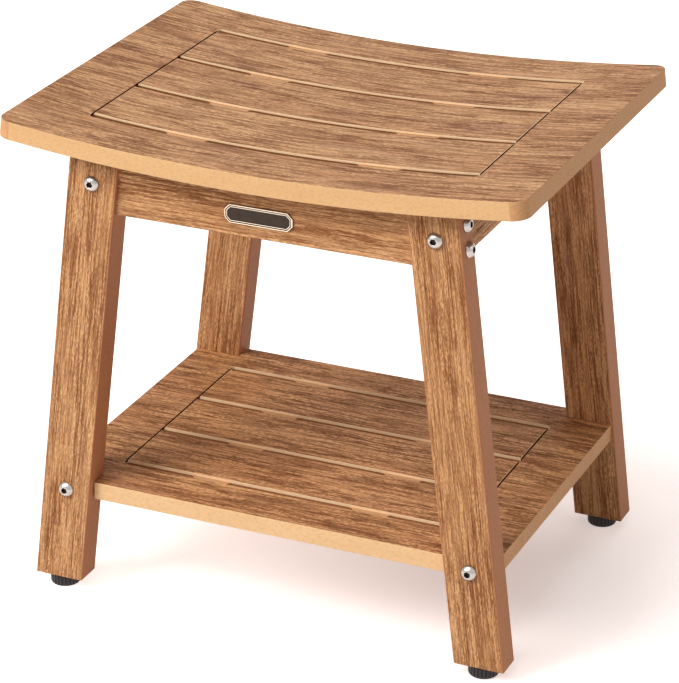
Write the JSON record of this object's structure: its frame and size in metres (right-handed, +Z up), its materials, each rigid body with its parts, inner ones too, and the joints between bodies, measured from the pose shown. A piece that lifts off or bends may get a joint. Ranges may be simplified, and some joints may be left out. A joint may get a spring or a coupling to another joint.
{
  "type": "shower bench",
  "caption": "Free-standing slatted bathroom bench with a curved seat, splayed legs, aprons, a lower storage shelf and screw-in levelling feet.",
  "frame": {"origin": "middle of the bench's footprint on the floor, with the feet screwed right in", "axes": "+X along the seat's length to the right as seen from the front, +Y from the front (nameplate side) to the back, +Z up"},
  "size_m": [0.463, 0.352, 0.433],
  "materials": {
    "poly_lumber": "teak-coloured foamed plastic board, wood-grain embossed faces, plain lighter cut edges",
    "stainless_steel": "bright stainless",
    "brass_insert": "plain brass",
    "zinc_steel": "zinc-plated",
    "aged_bronze": "dark field with a bright raised border, no lettering",
    "black_plastic": "matte black, ribbed"
  },
  "bodies": {
    "frame": {"seat_panel": "poly_lumber", "shelf_panel": "poly_lumber", "front_apron": "poly_lumber", "back_apron": "poly_lumber", "left_apron": "poly_lumber", "right_apron": "poly_lumber", "front_left_leg": "poly_lumber", "front_right_leg": "poly_lumber", "back_left_leg": "poly_lumber", "back_right_leg": "poly_lumber", "long_apron_bolts": "stainless_steel", "side_apron_bolts": "stainless_steel", "shelf_bolts": "stainless_steel", "long_apron_inserts": "brass_insert", "side_apron_inserts": "brass_insert", "shelf_inserts": "brass_insert", "front_left_foot_insert": "brass_insert", "front_right_foot_insert": "brass_insert", "back_left_foot_insert": "brass_insert", "back_right_foot_insert": "brass_insert", "front_left_seat_bracket": "zinc_steel", "front_right_seat_bracket": "zinc_steel", "back_left_seat_bracket": "zinc_steel", "back_right_seat_bracket": "zinc_steel", "bracket_screws": "stainless_steel", "nameplate": "aged_bronze"},
    "front_left_stud": {"front_left_foot_stud": "zinc_steel"},
    "front_left_foot": {"front_left_foot_base": "black_plastic"},
    "front_right_stud": {"front_right_foot_stud": "zinc_steel"},
    "front_right_foot": {"front_right_foot_base": "black_plastic"},
    "back_left_stud": {"back_left_foot_stud": "zinc_steel"},
    "back_left_foot": {"back_left_foot_base": "black_plastic"},
    "back_right_stud": {"back_right_foot_stud": "zinc_steel"},
    "back_right_foot": {"back_right_foot_base": "black_plastic"}
  },
  "joints": [
    {"name": "front_left_foot_travel", "type": "slide", "parent": "frame", "child": "front_left_stud", "axis": [0, 0, -1], "range_m": [0, 0.01]},
    {"name": "front_left_foot_turn", "type": "hinge", "parent": "front_left_stud", "child": "front_left_foot", "pos_m": [-0.19584, -0.148, 0], "axis": [0, 0, -1], "range_deg": [0, 2880]},
    {"name": "front_right_foot_travel", "type": "slide", "parent": "frame", "child": "front_right_stud", "axis": [0, 0, -1], "range_m": [0, 0.01]},
    {"name": "front_right_foot_turn", "type": "hinge", "parent": "front_right_stud", "child": "front_right_foot", "pos_m": [0.19584, -0.148, 0], "axis": [0, 0, -1], "range_deg": [0, 2880]},
    {"name": "back_left_foot_travel", "type": "slide", "parent": "frame", "child": "back_left_stud", "axis": [0, 0, -1], "range_m": [0, 0.01]},
    {"name": "back_left_foot_turn", "type": "hinge", "parent": "back_left_stud", "child": "back_left_foot", "pos_m": [-0.19584, 0.148, 0], "axis": [0, 0, -1], "range_deg": [0, 2880]},
    {"name": "back_right_foot_travel", "type": "slide", "parent": "frame", "child": "back_right_stud", "axis": [0, 0, -1], "range_m": [0, 0.01]},
    {"name": "back_right_foot_turn", "type": "hinge", "parent": "back_right_stud", "child": "back_right_foot", "pos_m": [0.19584, 0.148, 0], "axis": [0, 0, -1], "range_deg": [0, 2880]}
  ],
  "couplings": [
    {"joint": "front_left_foot_travel", "follows": "front_left_foot_turn", "m_per_rad": 0.0001989},
    {"joint": "front_right_foot_travel", "follows": "front_right_foot_turn", "m_per_rad": 0.0001989},
    {"joint": "back_left_foot_travel", "follows": "back_left_foot_turn", "m_per_rad": 0.0001989},
    {"joint": "back_right_foot_travel", "follows": "back_right_foot_turn", "m_per_rad": 0.0001989}
  ]
}
